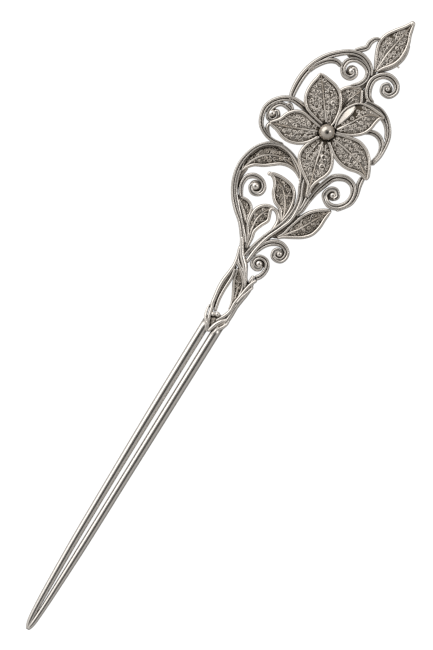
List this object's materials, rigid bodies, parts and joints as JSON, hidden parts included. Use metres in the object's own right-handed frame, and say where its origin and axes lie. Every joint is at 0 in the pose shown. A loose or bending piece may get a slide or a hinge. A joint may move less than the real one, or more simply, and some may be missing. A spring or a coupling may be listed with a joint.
{
  "type": "hairpin",
  "caption": "Silver filigree hairpin: a long two-leg pin joined at its tip, below a flat openwork head of wire scrolls, leaves and a flower with a centre ball.",
  "frame": {"origin": "middle of the hairpin's outline, on the flat back that it lies on", "axes": "+Y along the pin towards the head's top leaf, with the pin's tip at the -Y end; +X to the right as the front is seen with the head up; +Z out of the front"},
  "size_m": [0.0285, 0.16, 0.0055],
  "materials": {
    "wirework": "antique silver wire, polished on its ridges and darkened at its sides",
    "filigree": "oxidised silver filigree with bright raised curls and rims",
    "polished": "smooth polished silver"
  },
  "bodies": {
    "root": {"left_leg": "polished", "right_leg": "polished", "binding": "wirework", "neck_wires": "wirework", "neck_leaf": "filigree", "neck_scroll": "wirework", "main_stem": "wirework", "stem_scroll": "wirework", "right_leaf": "filigree", "right_scroll": "wirework", "teardrop_loop": "wirework", "crescent_leaf": "filigree", "loop_scroll": "wirework", "bud_leaf": "filigree", "small_leaf": "filigree", "large_leaf": "filigree", "left_loop": "wirework", "left_scroll": "wirework", "top_arc": "wirework", "crown_scroll_left": "wirework", "crown_scroll_right": "wirework", "crown_twig": "wirework", "crown_leaf": "filigree", "back_leaf": "filigree", "right_ring": "wirework", "flower_seat": "wirework", "petal_1": "filigree", "petal_2": "filigree", "petal_3": "filigree", "petal_4": "filigree", "petal_5": "filigree", "flower_ball": "polished"}
  },
  "joints": []
}
